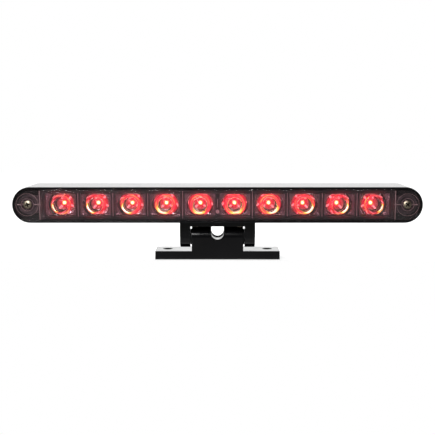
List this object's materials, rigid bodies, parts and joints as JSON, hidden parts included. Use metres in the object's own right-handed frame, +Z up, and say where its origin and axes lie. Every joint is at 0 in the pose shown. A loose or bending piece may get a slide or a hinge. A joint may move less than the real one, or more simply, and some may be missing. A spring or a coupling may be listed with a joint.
{
  "type": "third brake light",
  "caption": "Slim high-mounted stop lamp: a smoked lens over a row of LED optics in a round-ended black housing, tilting on a two-hole foot.",
  "frame": {"origin": "midway between the foot's two mounting holes, on the foot's underside", "axes": "+X along the lamp bar, to the right seen from the front; -Y the way the lens faces at rest; +Z up from the mounting surface"},
  "size_m": [0.235, 0.0285, 0.0434],
  "materials": {
    "gloss_black_abs": "gloss moulded black ABS",
    "matt_black_abs": "satin moulded black ABS",
    "black_zinc_steel": "black zinc-plated steel",
    "black_nylon": "moulded black nylon",
    "nickel_steel": "nickel-plated steel",
    "black_rubber": "moulded black rubber",
    "brass": "turned brass",
    "solder_mask": "green solder mask on glass-epoxy board",
    "led_body": "white moulded LED body",
    "led_red": "clear epoxy dome, lit red",
    "metallised_reflector": "vacuum-metallised moulding",
    "optic_acrylic": "clear polished acrylic, lit red",
    "smoked_polycarbonate": "smoked clear polycarbonate",
    "component_black": "moulded component body",
    "capacitor_can": "drawn aluminium can",
    "header_nylon": "natural nylon"
  },
  "bodies": {
    "base": {"base_bracket": "gloss_black_abs", "pivot_screws": "black_zinc_steel", "pivot_washers": "black_nylon"},
    "head": {"yoke_bracket": "gloss_black_abs", "yoke_screws": "nickel_steel", "cable_grommet": "black_rubber", "housing_shell": "gloss_black_abs", "post_inserts": "brass", "lens_gasket": "black_rubber", "lamp_tray": "matt_black_abs", "circuit_board": "solder_mask", "board_screws": "nickel_steel", "led_packages": "led_body", "led_domes": "led_red", "reflector_strip": "metallised_reflector", "optic_strip": "optic_acrylic", "cell_bezel": "matt_black_abs", "smoked_lens": "smoked_polycarbonate", "lens_screws": "nickel_steel", "resistors": "component_black", "reverse_diode": "component_black", "filter_capacitor": "capacitor_can", "current_regulator": "component_black", "lead_header": "header_nylon"}
  },
  "joints": [
    {"name": "tilt", "type": "hinge", "parent": "base", "child": "head", "pos_m": [0, -0.00245, 0.01275], "axis": [1, 0, 0], "range_deg": [-75, 75]}
  ]
}
